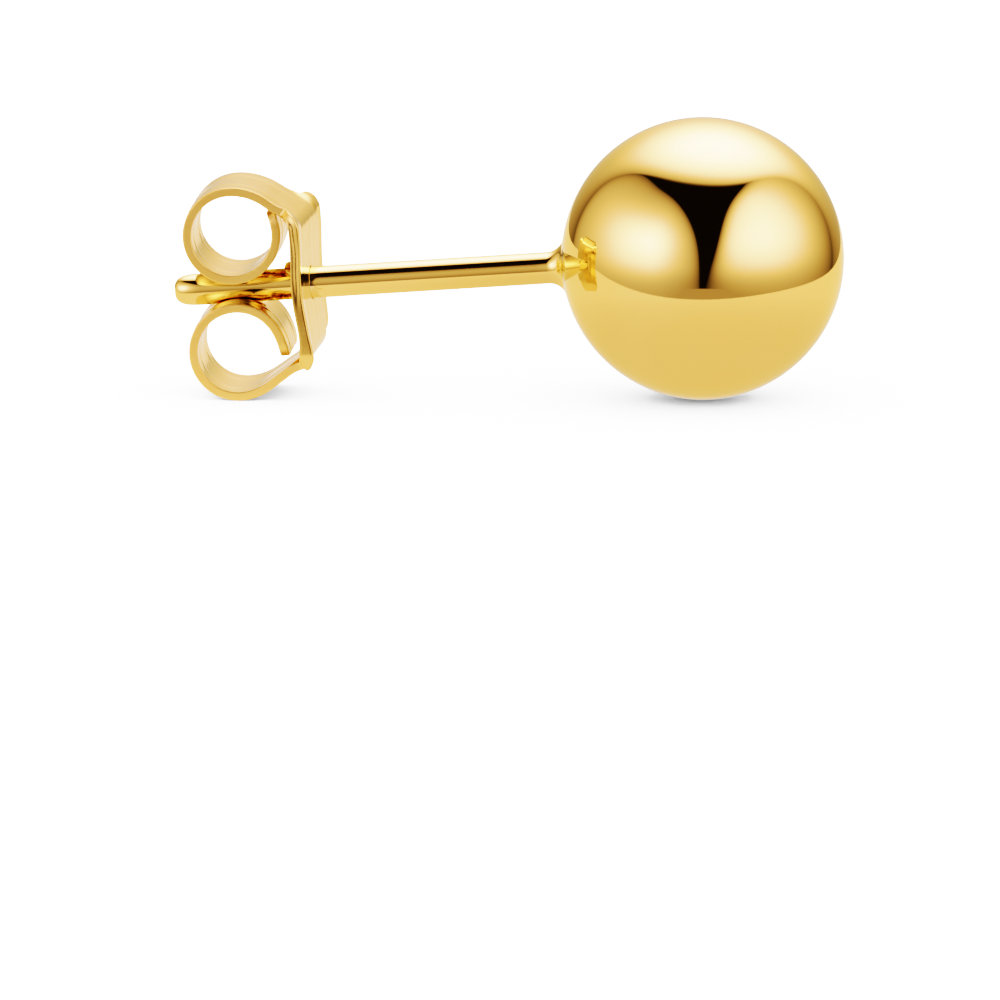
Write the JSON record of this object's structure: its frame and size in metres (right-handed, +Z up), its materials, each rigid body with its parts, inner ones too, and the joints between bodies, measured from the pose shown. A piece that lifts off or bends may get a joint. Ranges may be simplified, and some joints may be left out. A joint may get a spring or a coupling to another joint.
{
  "type": "ball stud earring",
  "caption": "Polished gold ball stud earring lying on a surface, with a butterfly clutch pushed onto its straight post; the clutch slides along the post.",
  "frame": {"origin": "bottom centre of the bounding box, on the surface that the ball and the clutch's lower scroll rest on", "axes": "+X from the clutch to the ball, along the post as seen from above; +Z up; Y across the clutch's width"},
  "size_m": [0.019, 0.008, 0.008],
  "materials": {
    "polished_gold": "mirror polished yellow gold, with a drawn post",
    "pressed_gold": "pressed and tumbled yellow gold sheet, bright faces with sheared edges"
  },
  "bodies": {
    "stud": {"ball_post": "polished_gold"},
    "clutch": {"clutch": "pressed_gold"}
  },
  "joints": [
    {"name": "clutch_slide", "type": "slide", "parent": "stud", "child": "clutch", "axis": [0.9973, 0, 0.074], "range_m": [-0.0046, 0.006]}
  ]
}
